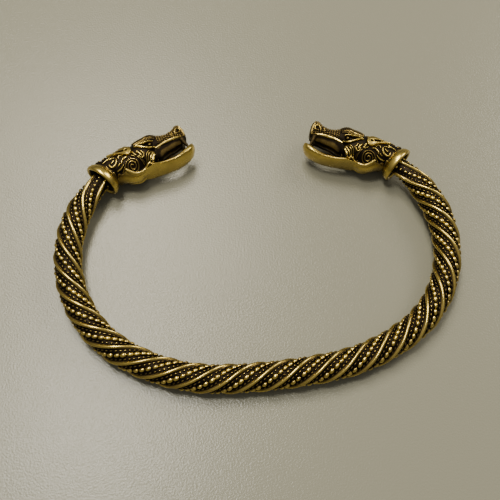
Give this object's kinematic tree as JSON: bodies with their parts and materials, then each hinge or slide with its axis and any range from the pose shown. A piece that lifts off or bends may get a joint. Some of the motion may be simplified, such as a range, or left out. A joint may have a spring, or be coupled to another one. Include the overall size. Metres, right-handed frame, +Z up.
{
  "type": "open cuff bracelet",
  "caption": "Open cuff bracelet: a round band with a raised, beaded left-handed twist that ends in two facing beast heads with open jaws.",
  "frame": {"origin": "on the surface the cuff lies on, under the middle of its whole box", "axes": "+Z up, +X from the left head to the right head, +Y from the middle of the band's back to the open side"},
  "size_m": [0.0746, 0.052, 0.0077],
  "materials": {
    "band_gold": "antique gold plating, polished on the raised wires and beads and dark in the recesses",
    "head_gold": "antique gold plating, polished on the jaws and the collars and dark in the carving"
  },
  "bodies": {
    "root": {"twisted_band": "band_gold", "head_left": "head_gold", "head_right": "head_gold"}
  },
  "joints": []
}
